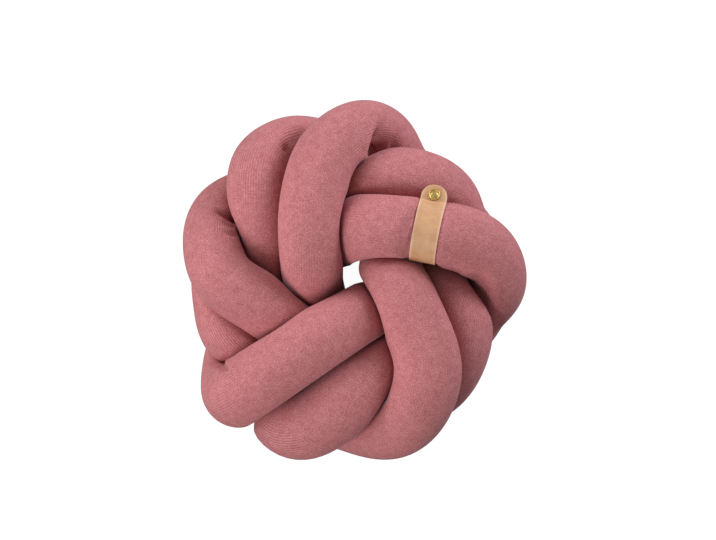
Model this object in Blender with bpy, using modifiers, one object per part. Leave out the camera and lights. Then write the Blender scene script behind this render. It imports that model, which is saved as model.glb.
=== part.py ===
"""Knot cushion: one stuffed knit tube tied into a round pinwheel knot, with a leather strap.

The tube is closed on itself. Its middle line runs through ten arms: each arm comes up round
the rim, crosses the face towards the centre, dives there, and passes under to the rim of
another arm. Where two arms press on each other, both are flat against the surface that lies
halfway between their middle lines. The cushion lies on its back, on the ground at z = 0.

All sizes below are in millimetres; MM turns them into metres.
"""

import math

import bmesh
import bpy
import mathutils
import numpy as np

MM = 0.001

# ---- Driving sizes -------------------------------------------------------------------------

UNDER_RADIUS = 26.5      # radius of the stuffed tube underneath, where nothing presses on it
SWELL_LIMIT = 1.12       # how far its free sides swell where neighbours press it flat
PRESS_GAP = 1.2          # space left between two arms that press on each other
CREASE = 8               # sharpness of the edge between a free side and a pressed one
OWN_STRETCH = 8          # how near to a point the line counts as the same stretch of arm
REST_HEIGHT = 74.5       # height of the knot's middle above the ground
CENTRE = (-0.42, 0.76)   # the point of the route table that stands over the object's origin
TUBE_SIDES = 22          # faces round the tube
SECTION_STEP = 13.0      # length of tube between two sections
FOLD_STEP = 5.2          # and where the knit is folded
FOLD_REACH = 34          # how far along the tube a fold counts on both sides of its middle

STRAP_WIDTH = 22.0
STRAP_THICK = 1.8
STRAP_PROUD = 0.6        # how far the strap stands out of the free side of its arm
SEAT_GAP = 0.4           # space between pieces that touch
STRAP_AT = (62, 41, 55)  # the point of the middle line that the strap goes round
STRAP_TURN = -4.0        # degrees that it has slipped off square to the arm
STRAP_LEAN = 5.5         # degrees that its top has slipped along the arm
STRAP_LEAVES = 25        # degrees above level at which the front end leaves the arm
STRAP_RETURNS = 365      # and the back end, after going round underneath
STRAP_STEP = 1.7         # length of one face along the strap

STUD_FROM_TIP = 9.2      # from the tip of the strap's front end to the stud
STUD_HEAD = 5.0          # radii of the stud's head, post and back, and of the strap's hole
STUD_POST = 1.3
STUD_BACK = 1.9
STUD_HOLE = 1.6
STUD_SIDES = 28

# The route of the tube's middle line, one row for each arm in the order in which the tube
# takes them: how full the arm is on the face, as radii of its free section that are evenly
# spread from the rim to the centre, and then (x, y) across the face and z above the knot's
# mid-height.
#   front: round the rim, over the face and down at the centre
#   under: back out to the rim of the next arm
ROUTE = (
    # arm, radii, front, under
    ("right", (27.0, 27.0, 27.5),
     [(104, -21, -11), (116, -5, 7), (114, 17, 30), (98, 32, 46),
      (64, 40.5, 54), (32, 43, 55), (3, 44, 42), (-21, 38, 4)],
     [(-37, 34, -36), (-71, 33, -50), (-106, 16, -31)]),
    ("left low", (26.5,),
     [(-111, -5, -8), (-109, -23, 2), (-105, -39, 6), (-93, -53, 4), (-75, -65, -12)],
     [(-64, -84, -42), (-49, -104, -51), (-26, -114, -46)]),
    ("bottom right", (28.0, 28.0, 26.0, 24.0),
     [(3, -121, -18), (33, -122, 17), (54.5, -99.5, 47), (60.5, -70, 54),
      (50, -34, 54), (38.5, -9, 51), (31, 10, 38), (29, 28, 14)],
     [(20, 48, -16), (10, 69, -40), (-10, 101, -49)]),
    ("top left", (27.0, 26.5),
     [(-44, 113, -22), (-64, 108.5, 2), (-77.5, 96, 17), (-80, 72, 24),
      (-77, 45, 18), (-71, 27, 9), (-66, 12, -6)],
     [(-69, -8, -26), (-83, -28, -41), (-97, -54, -42)]),
    ("bottom left", (28.0, 27.5, 27.0, 23.5, 21.0),
     [(-101, -88.5, -6), (-95.5, -94, 26), (-75, -80, 48), (-48, -61, 55),
      (-18, -42, 54), (9, -27, 34), (24, -21, 5), (38, -14, -31)],
     [(56, -9, -49), (82, 0, -52), (98, 28, -24)]),
    ("top right", (26.5,),
     [(86, 48, 4), (80, 65, 16), (68, 78, 24), (46, 85, 28),
      (15, 85, 22), (-12, 80, 2), (-32, 77, -10)],
     [(-45, 75, -17), (-60, 73, -22), (-81, 70, -23)]),
    ("left", (26.5, 25.5, 25.5, 25.0),
     [(-92, 67, -20), (-111, 57, -8), (-119, 27, 24), (-109, 1, 40),
      (-85, -16, 40), (-64, -30, 30), (-43, -44, 14), (-19, -55, 9)],
     [(8, -63, -17), (23, -78, -33), (45, -94, -28)]),
    ("right low", (26.5,),
     [(61, -93, -14), (76, -79, 7), (85, -60, 19), (88, -37, 23),
      (78, -10, 17), (63, 12, -6)],
     [(56, 34, -26), (56, 63, -33), (46.5, 84, -27)]),
    ("top", (27.0, 26.0, 27.5, 24.0),
     [(35, 100, -20), (26, 117.5, -8), (6, 126, 18), (-21, 108, 40),
      (-32.5, 82, 50), (-36, 54, 55), (-36, 22, 47), (-36, -3, 14)],
     [(-33, -28, -24), (-34, -60, -35), (-40, -85, -12)]),
    ("bottom", (29.5, 28.5),
     [(-58.5, -103, 6), (-57.5, -114.5, 17), (-44, -121, 28), (-18, -108, 37),
      (7, -87, 37), (31, -69, 23), (42, -60, 8)],
     [(55, -53, -10), (76, -47, -24), (93, -38, -25)]),
)

# Where an arm bends sharply, the knit of its inner side is thrown into folds. One row for each
# main fold as it is seen from above: a valley from its shallow end to its deep end, (x, y),
# with its depth and its width on the left and on the right of the way down.
FOLDS = (
    # arm, shallow end, deep end, depth, width on the left and on the right
    ("top", (26, 140), (17, 107), 10.0, (15.0, 6.5)),
    ("left", (-120, 62), (-101, 51), 7.0, (3.5, 3.5)),
    ("top left", (-36, 135), (-56, 112), 6.0, (7.0, 5.5)),
    ("right", (117, -32), (104, -2), 6.0, (9.0, 7.0)),
)

# The strap's two ends beyond the arm, seen along the arm: (out from the arm's middle
# towards the top of the face, above it). The front end lies on top of the back end.
FRONT_END = [(25.5, 10.4), (26.8, 9.62), (29.0, 8.95), (31.5, 8.2), (36.0, 6.85), (40.2, 5.6)]
BACK_END = [(27.0, 4.4), (27.7, 6.3), (29.0, 6.75), (31.0, 6.1), (35.4, 4.8), (39.4, 3.6)]

# Half of the stud's section, (radius, height above the strap), from the top of its head
# down its outer side to the middle of its back.
STUD_PROFILE = [
    (0.0, 1.5), (2.3, 1.5), (2.7, 1.0), (3.6, 1.0), (3.9, 1.6), (4.6, 1.6),
    (STUD_HEAD, 1.1), (STUD_HEAD, SEAT_GAP), (STUD_POST, SEAT_GAP),
    (STUD_POST, -4.35), (STUD_BACK, -4.35), (STUD_BACK, -5.1), (0.0, -5.1),
]


# ---- Curves --------------------------------------------------------------------------------

def unit(vectors):
    """The vectors at length one."""
    return vectors / np.linalg.norm(vectors, axis=-1, keepdims=True)


def closed_curve(points, count):
    """A smooth closed cubic curve through the points, as count evenly spaced points."""
    after = np.roll(points, -1, axis=0)
    step = np.linalg.norm(after - points, axis=1) ** 0.6
    before = np.roll(step, 1)
    slope = (after - points) / step[:, None]
    n = len(points)
    here = np.arange(n)
    system = np.zeros((n, n))
    system[here, here] = 2 * (step + before)
    system[here, (here + 1) % n] += before
    system[here, (here - 1) % n] += step
    right = 3 * (step[:, None] * np.roll(slope, 1, axis=0) + before[:, None] * slope)
    tangent = np.linalg.solve(system, right)
    t = np.linspace(0, 1, 24, endpoint=False)[None, :, None]
    reach = step[:, None, None]
    curve = ((2 * t**3 - 3 * t**2 + 1) * points[:, None]
             + (t**3 - 2 * t**2 + t) * reach * tangent[:, None]
             + (3 * t**2 - 2 * t**3) * after[:, None]
             + (t**3 - t**2) * reach * np.roll(tangent, -1, axis=0)[:, None])
    curve = curve.reshape(-1, 3)
    return along(curve, np.linspace(0, 1, count, endpoint=False))


def along(curve, share):
    """Points of a closed curve at the given shares of its length."""
    ring = np.vstack([curve, curve[:1]])
    length = np.concatenate([[0], np.cumsum(np.linalg.norm(np.diff(ring, axis=0), axis=1))])
    at = np.mod(share, 1) * length[-1]
    return np.stack([np.interp(at, length, ring[:, k]) for k in range(3)], axis=1)


def ring_length(curve):
    """Length of a closed curve."""
    return np.linalg.norm(np.roll(curve, -1, axis=0) - curve, axis=1).sum()


def flowing_line(points):
    """A smooth open line through the points, with the length that is passed at each of its
    own points."""
    ends = np.vstack([2 * points[0] - points[1], points, 2 * points[-1] - points[-2]])
    a, b, c, d = ends[:-3, None], ends[1:-2, None], ends[2:-1, None], ends[3:, None]
    t = np.linspace(0, 1, 12, endpoint=False)[None, :, None]
    line = 0.5 * (2 * b + (c - a) * t + (2 * a - 5 * b + 4 * c - d) * t**2
                  + (3 * b - a - 3 * c + d) * t**3)
    line = np.vstack([line.reshape(-1, 2), points[-1:]])
    length = np.concatenate([[0], np.cumsum(np.linalg.norm(np.diff(line, axis=0), axis=1))])
    return line, length


# ---- The tube's skin -----------------------------------------------------------------------

def half_way(starts, rays, line):
    """How far each ray runs before it is as near to another part of the line as to its own.

    A point at r along a ray is equally far from its start and from q when
    r = |q - start|^2 / (2 ray . (q - start)); the nearest q counts. The stretch of the line
    right beside the start says nothing about its bend and is left out.
    """
    starts, flat_rays = np.broadcast_arrays(starts, rays)
    starts, flat_rays = starts.reshape(-1, 3), flat_rays.reshape(-1, 3)
    reach = np.full(len(starts), 1000.0)
    for first in range(0, len(starts), 1000):
        part = slice(first, first + 1000)
        away = line[None] - starts[part, None]
        square = (away**2).sum(axis=2)
        ahead = (away @ flat_rays[part, :, None])[:, :, 0]
        towards = (ahead > 1e-6 * square) & (square > OWN_STRETCH**2)
        there = np.where(towards, square / np.where(towards, 2 * ahead, 1), 1000)
        reach[part] = there.min(axis=1)
    return reach.reshape(rays.shape[:-1])


def skin(free, pressed):
    """The lesser of the free radius and the pressed one, with a soft edge between them."""
    return (free**-CREASE + np.maximum(pressed, 1)**-CREASE)**(-1 / CREASE)


def turning_axes(line):
    """Two cross directions at each point of a closed line, turning as little as they can."""
    tangent = unit(np.roll(line, -1, axis=0) - np.roll(line, 1, axis=0))
    side = np.zeros_like(line)
    side[0] = unit(np.cross(tangent[0], (0, 0, 1)))
    for i in range(1, len(line)):
        side[i] = unit(side[i - 1] - tangent[i] * (side[i - 1] @ tangent[i]))
    end = unit(side[-1] - tangent[0] * (side[-1] @ tangent[0]))
    slip = math.atan2(end @ np.cross(tangent[0], side[0]), end @ side[0])
    turn = -slip * np.arange(len(line))[:, None] / len(line)
    side = np.cos(turn) * side + np.sin(turn) * np.cross(tangent, side)
    return side, np.cross(tangent, side)


def spokes(line, sides):
    """Rays square to the line at each of its points, evenly spread round it."""
    side, up = turning_axes(line)
    angle = np.arange(sides) * 2 * math.pi / sides
    return (np.cos(angle)[None, :, None] * side[:, None]
            + np.sin(angle)[None, :, None] * up[:, None])


def spread(values, count):
    """Evenly spaced values of an arm brought to the number of its points."""
    return np.interp(np.linspace(0, 1, count), np.linspace(0, 1, len(values)), values)


def evened(values, step, over):
    """Values along a closed line, evened out over a length."""
    wave = np.fft.fftfreq(len(values), d=step)
    return np.real(np.fft.ifft(np.fft.fft(values) * np.exp(-2 * (math.pi * wave * over)**2)))


def free_radius(line, route, fullness):
    """The radius of the tube's free side at each point of the line. The girth of the knit is
    that of the arm's own radius, so a section that its neighbours press flat swells."""
    sides = 24
    step = ring_length(line) / len(line)
    nearest = ((line[:, None] - route[None])**2).sum(axis=2).argmin(axis=1)
    full = evened(fullness[nearest], step, UNDER_RADIUS / 2)
    rays = spokes(line, sides)
    pressed = half_way(line[:, None], rays, line) - PRESS_GAP / 2
    girth = 2 * sides * math.sin(math.pi / sides) * full
    radius = full
    for _ in range(4):
        reach = skin(radius[:, None], pressed)
        rim = reach[:, :, None] * rays
        around = np.linalg.norm(np.roll(rim, -1, axis=1) - rim, axis=2).sum(axis=1)
        radius = np.clip(radius * (girth / around)**0.8, full, full * SWELL_LIMIT)
        radius = evened(radius, step, UNDER_RADIUS / 2)
    return radius


# ---- Blender helpers -----------------------------------------------------------------------

def grid_faces(rows, columns, closed_rows):
    """Quads of a grid whose columns close on themselves, and whose rows may."""
    i = np.arange(rows if closed_rows else rows - 1)[:, None]
    j = np.arange(columns)[None]
    here = i * columns + j
    beside = i * columns + (j + 1) % columns
    next_row = ((i + 1) % rows) * columns
    quads = np.stack([here, beside, next_row + (j + 1) % columns, next_row + j], axis=-1)
    return quads.reshape(-1, 4).tolist()


def add_mesh(name, points, faces, collection, material):
    """A mesh object from points in millimetres, with its faces turned outwards."""
    mesh = bpy.data.meshes.new(name)
    mesh.from_pydata((np.asarray(points).reshape(-1, 3) * MM).tolist(), [], faces)
    work = bmesh.new()
    work.from_mesh(mesh)
    bmesh.ops.recalc_face_normals(work, faces=work.faces)
    work.to_mesh(mesh)
    work.free()
    mesh.shade_smooth()
    mesh.materials.append(material)
    item = bpy.data.objects.new(name, mesh)
    collection.objects.link(item)
    return item


def add_material(name, colour, roughness, metallic=0.0):
    """A Principled BSDF material of one colour."""
    material = bpy.data.materials.new(name)
    material.use_nodes = True
    shader = material.node_tree.nodes["Principled BSDF"]
    shader.inputs["Base Color"].default_value = (*colour, 1.0)
    shader.inputs["Roughness"].default_value = roughness
    shader.inputs["Metallic"].default_value = metallic
    material.diffuse_color = (*colour, 1.0)
    return material


# ---- The strap's place on its arm ----------------------------------------------------------

class Seat:
    """The place of the strap: its plane across the arm and the groove that it lies in.

    out points across the arm towards the top of the face, up away from the face, and span
    along the arm. rim is the strap's outer surface as a distance from the arm's middle at
    each whole 5 degrees, counted from out towards up.
    """

    def __init__(self, line, radius):
        self.index = int(np.argmin(np.linalg.norm(line - np.array(STRAP_AT), axis=1)))
        self.origin = line[self.index]
        ahead = line[(self.index + 2) % len(line)] - line[self.index - 2]
        upright = np.array([0.0, 0.0, 1.0])
        square_on = unit(ahead * (1, 1, 0))
        turn, lean = math.radians(STRAP_TURN), math.radians(STRAP_LEAN)
        level = math.cos(turn) * square_on + math.sin(turn) * np.cross(upright, square_on)
        self.span = math.cos(lean) * level - math.sin(lean) * upright
        self.up = math.cos(lean) * upright + math.sin(lean) * level
        self.out = np.cross(upright, level)
        self.out *= np.sign(self.out[1])
        self.angles = np.radians(np.arange(0, 360, 5))
        flat = (np.cos(self.angles)[:, None] * self.out
                + np.sin(self.angles)[:, None] * self.up)
        step = ring_length(line) / len(line)
        reach = int(round(STRAP_WIDTH / 2 / step))
        near = self.index + np.array([-reach, -reach // 2, 0, reach // 2, reach])
        centres = line[near]
        tangent = unit(line[near + 2] - line[near - 2])
        rays = unit(flat - (tangent @ flat.T)[:, :, None] * tangent[:, None])
        pressed = half_way(centres[:, None], rays, line) - PRESS_GAP / 2
        surface = skin(radius[near][:, None] + STRAP_PROUD, pressed)
        rim = centres[:, None] + surface[:, :, None] * rays - self.origin
        self.rim = (rim * flat).sum(axis=2).min(axis=0)

    def rim_at(self, angle):
        """The strap's outer surface at any angle, in radians."""
        return np.interp(angle, self.angles, self.rim, period=2 * math.pi)

    def groove(self, starts, rays, reach):
        """The reach of the arm's rays, held back where they would meet the strap."""
        offset = starts - self.origin
        across, above = offset @ self.out, offset @ self.up
        ray_across, ray_above = rays @ self.out, rays @ self.up
        held = reach
        for _ in range(4):
            u, w = across + held * ray_across, above + held * ray_above
            bed = self.rim_at(np.arctan2(w, u)) - STRAP_THICK - SEAT_GAP - 0.2
            held = held * bed / np.hypot(u, w)
        beside = np.abs((offset + reach[..., None] * rays) @ self.span) - STRAP_WIDTH / 2 - 0.6
        return np.minimum(reach, held + 1.2 * np.maximum(beside, 0))

    def world(self, along_arm, outward, upward):
        """The point at the given distances along the arm, outwards and upwards."""
        return (self.origin + np.multiply.outer(along_arm, self.span)
                + np.multiply.outer(outward, self.out) + np.multiply.outer(upward, self.up))


# ---- The pieces ----------------------------------------------------------------------------

def tube_points(line, radius, share, sides):
    """The pressed skin where share holds a place along the line for each point, one column
    for each spoke: where the rays start, the rays, their reach and what limits it."""
    spoke = spokes(line, sides)
    place = np.mod(share, 1) * len(line)
    before = place.astype(int) % len(line)
    after = (before + 1) % len(line)
    part = (place % 1)[..., None]
    column = np.arange(sides)[None]
    starts = line[before] * (1 - part) + line[after] * part
    rays = unit(spoke[before, column] * (1 - part) + spoke[after, column] * part)
    free = radius[before] * (1 - part[..., 0]) + radius[after] * part[..., 0]
    pressed = half_way(starts, rays, line) - PRESS_GAP / 2
    return starts, rays, skin(free, pressed), pressed


def beside_strap(line, radius, seat, distance):
    """Sections at the given distances from the strap's middle along the arm. Those near the
    strap are turned to stand square to its edges all the way round the arm."""
    length = ring_length(line)
    middle = seat.index / len(line)
    probe = np.linspace(-36, 36, 61)
    share = np.repeat((middle + probe / length)[:, None], TUBE_SIDES, axis=1)
    starts, rays, reach, _ = tube_points(line, radius, share, TUBE_SIDES)
    level = (starts + reach[..., None] * rays - seat.origin) @ seat.span
    level *= np.sign(level[-1, 0] - level[0, 0])
    turned = np.clip(distance, -17, 17)
    shift = np.stack([np.interp(turned, level[:, j], probe) - turned
                      for j in range(TUBE_SIDES)], axis=1)
    fade = np.clip((70 - np.abs(distance)) / 53, 0, 1)
    return middle + (distance[:, None] + shift * fade[:, None]) / length


def fold_places(line, radius, arm_at):
    """The index along the line of the section on which each fold lies. Among the sections of
    its arm it is the one whose skin is highest at the fold's middle."""
    coarse = line[::3]
    rays = spokes(line, TUBE_SIDES)[::3]
    reach = skin(radius[::3, None], half_way(coarse[:, None], rays, coarse) - PRESS_GAP / 2)
    tips = coarse[:, None] + reach[..., None] * rays
    places = []
    for arm, shallow, deep, _, _ in FOLDS:
        own = arm_at[::3] == arm
        own |= np.roll(own, -int(UNDER_RADIUS * len(coarse) / ring_length(line)))
        off = np.linalg.norm(tips[..., :2] - (np.array(shallow) + deep) / 2, axis=2)
        height = np.where(own[:, None] & (off < UNDER_RADIUS / 3), tips[..., 2], -1000)
        places.append(3 * (height.argmax() // TUBE_SIDES))
    return places


def apart(line, place):
    """How far along the closed line each of its points is from the one with the index place."""
    steps = np.abs(np.arange(len(line)) - place)
    return np.minimum(steps, len(line) - steps) * ring_length(line) / len(line)


def section_distances(line, places, seat):
    """How far along the line each section stands from the strap's middle: evenly, but closer
    together where the knit is folded, and to measure at the strap's two edges."""
    step = ring_length(line) / len(line)
    spacing = np.full(len(line), SECTION_STEP)
    for place in places:
        spacing[apart(line, place) < FOLD_REACH * 0.6] = FOLD_STEP
    spacing = evened(np.roll(spacing, -seat.index), step, SECTION_STEP / 2)
    passed = np.concatenate([[0], np.cumsum(step / spacing)])
    count = int(round(passed[-1]))
    even = np.interp(np.arange(count) / count * passed[-1], passed,
                     np.arange(len(line) + 1) * step)
    even = np.mod(even + ring_length(line) / 2, ring_length(line)) - ring_length(line) / 2
    edge = STRAP_WIDTH / 2
    at_strap = [-edge - 6, -edge - 3, -edge - 0.6, -edge / 2,
                0, edge / 2, edge + 0.6, edge + 3, edge + 6]
    return np.sort(np.concatenate([even[np.abs(even) > edge + 11], at_strap]))


def fold(seen, shallow, deep, depth, widths):
    """How much a fold moves the skin in or out at points seen from above: a valley that
    deepens over the first part of its way, with a low ridge on both sides."""
    way = np.subtract(deep, shallow)
    share = np.clip(((seen - shallow) @ way) / (way @ way), 0, 1)
    left = (seen - shallow) @ (-way[1], way[0]) > 0
    off = np.linalg.norm(seen - shallow - share[..., None] * way, axis=-1)
    off = off / np.where(left, widths[0], widths[1])
    fade = np.minimum(share / 0.7, 1)
    fade = fade**2 * (3 - 2 * fade)
    return depth * fade * (0.15 * np.exp(-(off - 2)**2) - np.exp(-off**2))


def knit_tube(line, radius, arm_at, seat, collection, material):
    """The stuffed tube: sections along the line, each spoke run out to the skin with its
    folds, to the strap's groove or to the ground, whichever comes first."""
    places = fold_places(line, radius, arm_at)
    distance = section_distances(line, places, seat)
    share = beside_strap(line, radius, seat, distance)
    starts, rays, reach, pressed = tube_points(line, radius, share, TUBE_SIDES)
    index = np.round(share * len(line)).astype(int) % len(line)
    seen = (starts + reach[..., None] * rays)[..., :2]
    for (_, *sizes), place in zip(FOLDS, places):
        near = np.clip(3 - 3 * apart(line, place)[index] / FOLD_REACH, 0, 1)
        reach = reach + near * np.clip(2 + 4 * rays[..., 2], 0, 1) * fold(seen, *sizes)
    reach = np.clip(reach, 4, pressed)
    under = np.abs(distance) < 1.5 * STRAP_WIDTH
    reach[under] = seat.groove(starts[under], rays[under], reach[under])
    down = np.maximum(-rays[..., 2], 1e-3)
    reach = np.minimum(reach, (starts[..., 2] + REST_HEIGHT) / down)
    points = starts + reach[..., None] * rays
    faces = grid_faces(len(distance), TUBE_SIDES, True)
    return add_mesh("knit_tube", on_ground(points), faces, collection, material)


def strap_line(seat):
    """The middle of the strap's thickness seen along the arm, from the tip of its front
    end, round the arm and on to the tip of its back end, and the length up to each point."""
    angle = np.radians(np.arange(STRAP_LEAVES, STRAP_RETURNS + 1, 5))
    middle = seat.rim_at(angle) - STRAP_THICK / 2
    loop = np.stack([middle * np.cos(angle), middle * np.sin(angle)], axis=1)
    points = np.vstack([FRONT_END[::-1], loop, BACK_END])
    return flowing_line(points)


def cut_line(line, length, at):
    """Points of a line and its left-hand normals at the given lengths."""
    points = np.stack([np.interp(at, length, line[:, k]) for k in range(2)], axis=1)
    back = np.stack([np.interp(at - 0.4, length, line[:, k]) for k in range(2)], axis=1)
    front = np.stack([np.interp(at + 0.4, length, line[:, k]) for k in range(2)], axis=1)
    ahead = unit(front - back)
    return points, np.stack([-ahead[:, 1], ahead[:, 0]], axis=1)


def leather_strap(seat, collection, material):
    """The strap: a strip of even width and thickness along its line, with round ends."""
    line, length = strap_line(seat)
    half = STRAP_WIDTH / 2
    tip = half * (1 - np.cos(np.radians(np.linspace(12, 90, 7))))
    body = np.arange(half + STRAP_STEP, length[-1] - half - STRAP_STEP / 2, STRAP_STEP)
    at = np.concatenate([tip, body, length[-1] - tip[::-1]])
    points, normal = cut_line(line, length, at)
    from_end = np.minimum(np.minimum(at, length[-1] - at), half)
    width = np.sqrt(half**2 - (half - from_end)**2)
    top = points - normal * STRAP_THICK / 2
    bottom = points + normal * STRAP_THICK / 2
    across = np.array([-1, -0.5, 0, 0.5, 1])
    rows = []
    for surface, order in ((top, across), (bottom, across[::-1])):
        for share in order:
            rows.append(seat.world(width * share, surface[:, 0], surface[:, 1]))
    grid = np.stack(rows, axis=1)
    faces = grid_faces(len(at), len(rows), False)
    last = (len(at) - 1) * len(rows)
    half_row = len(across)
    for k in range(half_row - 1):
        quad = [k, k + 1, 2 * half_row - 2 - k, 2 * half_row - 1 - k]
        faces.append(quad)
        faces.append([last + q for q in reversed(quad)])
    strap = add_mesh("leather_strap", on_ground(grid), faces, collection, material)
    return strap, stud_place(seat, line, length)


def stud_place(seat, line, length):
    """Where the stud goes: the middle of the front end's round tip, square to it."""
    points, normal = cut_line(line, length, np.array([STUD_FROM_TIP]))
    face = points[0] - normal[0] * STRAP_THICK / 2
    place = on_ground(seat.world(0.0, face[0], face[1]))
    axis = -normal[0][0] * seat.out - normal[0][1] * seat.up
    turn = mathutils.Vector(axis).to_track_quat("Z", "Y").to_matrix().to_4x4()
    return mathutils.Matrix.Translation(place * MM) @ turn


def brass_stud(place, collection, material):
    """The stud: its head, post and back turned in one, standing through both strap ends."""
    mesh = bpy.data.meshes.new("brass_stud")
    points = [(r * MM, 0, h * MM) for r, h in STUD_PROFILE]
    edges = [(k, k + 1) for k in range(len(points) - 1)]
    mesh.from_pydata(points, edges, [])
    mesh.materials.append(material)
    stud = bpy.data.objects.new("brass_stud", mesh)
    collection.objects.link(stud)
    turned = stud.modifiers.new("turned", "SCREW")
    turned.steps = STUD_SIDES
    turned.render_steps = STUD_SIDES
    turned.use_merge_vertices = True
    turned.merge_threshold = 0.0001
    stud.matrix_world = place
    return stud


def cut_hole(strap, place, cutters):
    """Cut the stud's hole through both ends of the strap."""
    bpy.ops.mesh.primitive_cylinder_add(vertices=STUD_SIDES, radius=STUD_HOLE * MM, depth=10 * MM)
    cutter = bpy.context.object
    cutter.name = "stud_hole"
    for collection in cutter.users_collection:
        collection.objects.unlink(cutter)
    cutters.objects.link(cutter)
    half_side = mathutils.Matrix.Rotation(math.pi / STUD_SIDES, 4, "Z")
    cutter.matrix_world = place @ mathutils.Matrix.Translation((0, 0, -2 * MM)) @ half_side
    cutter.hide_render = True
    cutter.display_type = "WIRE"
    hole = strap.modifiers.new("stud hole", "BOOLEAN")
    hole.operation = "DIFFERENCE"
    hole.object = cutter


def on_ground(points):
    """Points of the route table's space moved to the object's own, still in millimetres."""
    return np.asarray(points) + (-CENTRE[0], -CENTRE[1], REST_HEIGHT)


def add_collection(name):
    """A collection of the scene."""
    collection = bpy.data.collections.new(name)
    bpy.context.scene.collection.children.link(collection)
    return collection


def main():
    """Clear the scene and build the cushion."""
    for item in list(bpy.data.objects):
        bpy.data.objects.remove(item)
    cushion = add_collection("knot cushion")
    cutters = add_collection("cutters")
    knit = add_material("knit_cotton", (0.53, 0.17, 0.19), 0.95)
    leather = add_material("natural_leather", (0.68, 0.42, 0.23), 0.55)
    brass = add_material("brass", (0.72, 0.50, 0.16), 0.3, 1.0)

    route = np.array([point for *_, front, under in ROUTE for point in front + under], float)
    fullness = np.concatenate([[*spread(radii, len(front)), *[UNDER_RADIUS] * len(under)]
                               for _, radii, front, under in ROUTE])
    names = np.array([name for name, _, front, under in ROUTE for _ in front + under])
    line = closed_curve(route, 900)
    arm_at = names[((line[:, None] - route[None])**2).sum(axis=2).argmin(axis=1)]
    radius = free_radius(line[::3], route, fullness)
    radius = np.interp(np.arange(900), np.arange(0, 900, 3), radius, period=900)
    seat = Seat(line, radius)
    knit_tube(line, radius, arm_at, seat, cushion, knit)
    strap, place = leather_strap(seat, cushion, leather)
    cut_hole(strap, place, cutters)
    brass_stud(place, cushion, brass)


main()
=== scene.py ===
import math

import bpy
import numpy as np
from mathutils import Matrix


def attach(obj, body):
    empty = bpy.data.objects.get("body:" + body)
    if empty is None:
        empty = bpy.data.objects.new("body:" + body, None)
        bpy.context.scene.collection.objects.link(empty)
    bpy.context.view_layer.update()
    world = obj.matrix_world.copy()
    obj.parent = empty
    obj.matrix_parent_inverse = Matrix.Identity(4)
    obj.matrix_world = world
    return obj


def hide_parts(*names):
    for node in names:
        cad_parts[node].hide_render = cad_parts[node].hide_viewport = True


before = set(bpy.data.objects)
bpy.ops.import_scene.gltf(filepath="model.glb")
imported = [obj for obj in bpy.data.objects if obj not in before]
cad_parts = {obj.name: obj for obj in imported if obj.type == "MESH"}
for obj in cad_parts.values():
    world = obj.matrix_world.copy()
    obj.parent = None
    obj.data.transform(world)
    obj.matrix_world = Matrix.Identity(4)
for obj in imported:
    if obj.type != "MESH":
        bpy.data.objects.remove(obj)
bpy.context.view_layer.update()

# ==== Knit tube ===============================================================================
# The cushion itself: one long tube of fine cotton jersey, knitted in the round and stuffed with
# fibre, tied into a pinwheel knot and closed on itself out of sight. Its wales run along the arms.

# The sizes and the route are those of the solid, in millimetres.
MM = 0.001               # in metres, which the meshes are made in
UNDER_RADIUS = 26.5      # of the tube's free side underneath
SWELL_LIMIT = 1.12       # how far its free sides swell where neighbours press it flat
PRESS_GAP = 0.5          # between two arms that press on each other
CREASE = 9               # sharpness of the edge between a free side and a pressed one
OWN_STRETCH = 8          # how near to a point the line counts as the same stretch of arm
CORE = 4                 # the least distance from the tube's middle line to its skin
FAR = 1000.0             # longer than any distance within the knot
REST_HEIGHT = 74.5       # the knot's middle above the ground
CENTRE = (-0.42, 0.76)   # the point of the route that stands over the object's origin
TUBE_SIDES = 84          # points round each section of the tube
SECTION_STEP = 3.2       # between two sections along it
FOLD_STEP = 1.25         # and where the knit is folded
STEP_CHANGE = 6.0        # the length over which the one step goes over into the other
TRIAL_SECTIONS = 300     # of the plain tube on which the swelling and the folds' places are found
TRIAL_SIDES = 24         # points round each of its sections

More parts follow.
